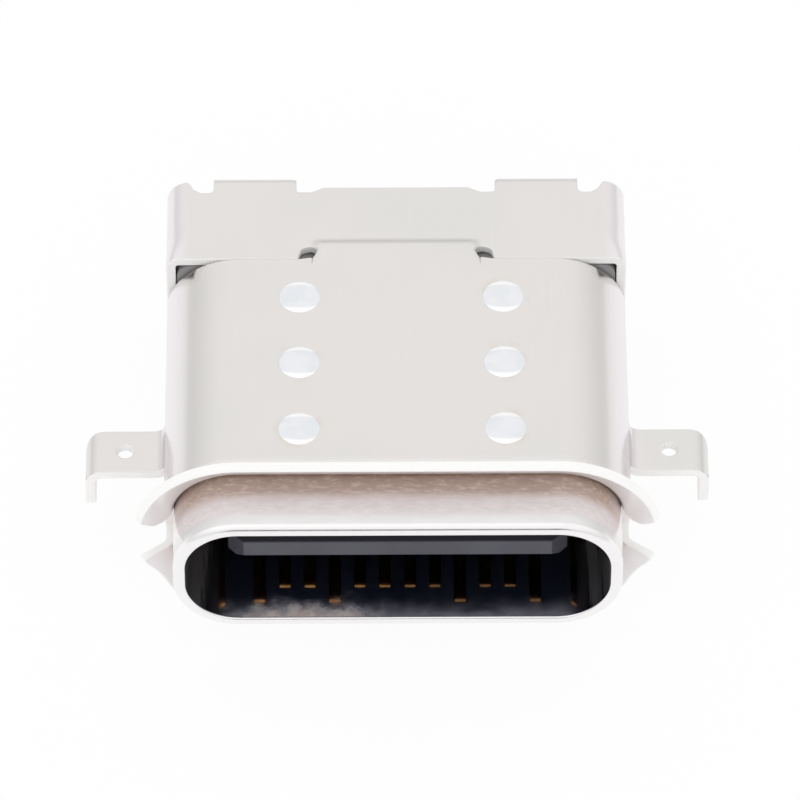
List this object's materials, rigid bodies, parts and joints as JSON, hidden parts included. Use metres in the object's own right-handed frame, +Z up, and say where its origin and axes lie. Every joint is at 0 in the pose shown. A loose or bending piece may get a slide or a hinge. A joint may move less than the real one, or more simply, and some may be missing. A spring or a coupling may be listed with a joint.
{
  "type": "usb-c socket",
  "caption": "Sunk-mount USB-C socket: drawn metal mouth with a contact tongue, wrapped in a stamped shell with a flared rim, side solder tabs and a folded rear cover",
  "frame": {"origin": "centre of the plug mouth's opening, in the plane of its front edge", "axes": "+X to the right along the mouth's width, +Y into the socket, +Z up, away from the board"},
  "size_m": [0.0124, 0.0093, 0.0045],
  "materials": {
    "plated_sheet": "satin nickel-plated stamped sheet",
    "drawn_steel": "satin nickel-plated drawn steel",
    "black_moulding": "moulded black plastic",
    "insert_plastic": "moulded black plastic",
    "plate_steel": "bare stainless sheet",
    "gold_contact": "gold-plated copper alloy"
  },
  "bodies": {
    "root": {"inner_shell": "drawn_steel", "outer_shell": "plated_sheet", "tongue_moulding": "black_moulding", "upper_insert": "insert_plastic", "lower_insert": "insert_plastic", "middle_plate": "plate_steel", "upper_ground_plate": "plate_steel", "lower_ground_plate": "plate_steel", "upper_contact_1": "gold_contact", "upper_contact_2": "gold_contact", "upper_contact_3": "gold_contact", "upper_contact_4": "gold_contact", "upper_contact_5": "gold_contact", "upper_contact_6": "gold_contact", "upper_contact_7": "gold_contact", "upper_contact_8": "gold_contact", "upper_contact_9": "gold_contact", "upper_contact_10": "gold_contact", "upper_contact_11": "gold_contact", "upper_contact_12": "gold_contact", "lower_contact_1": "gold_contact", "lower_contact_2": "gold_contact", "lower_contact_3": "gold_contact", "lower_contact_4": "gold_contact", "lower_contact_5": "gold_contact", "lower_contact_6": "gold_contact", "lower_contact_7": "gold_contact", "lower_contact_8": "gold_contact", "lower_contact_9": "gold_contact", "lower_contact_10": "gold_contact", "lower_contact_11": "gold_contact", "lower_contact_12": "gold_contact"}
  },
  "joints": []
}
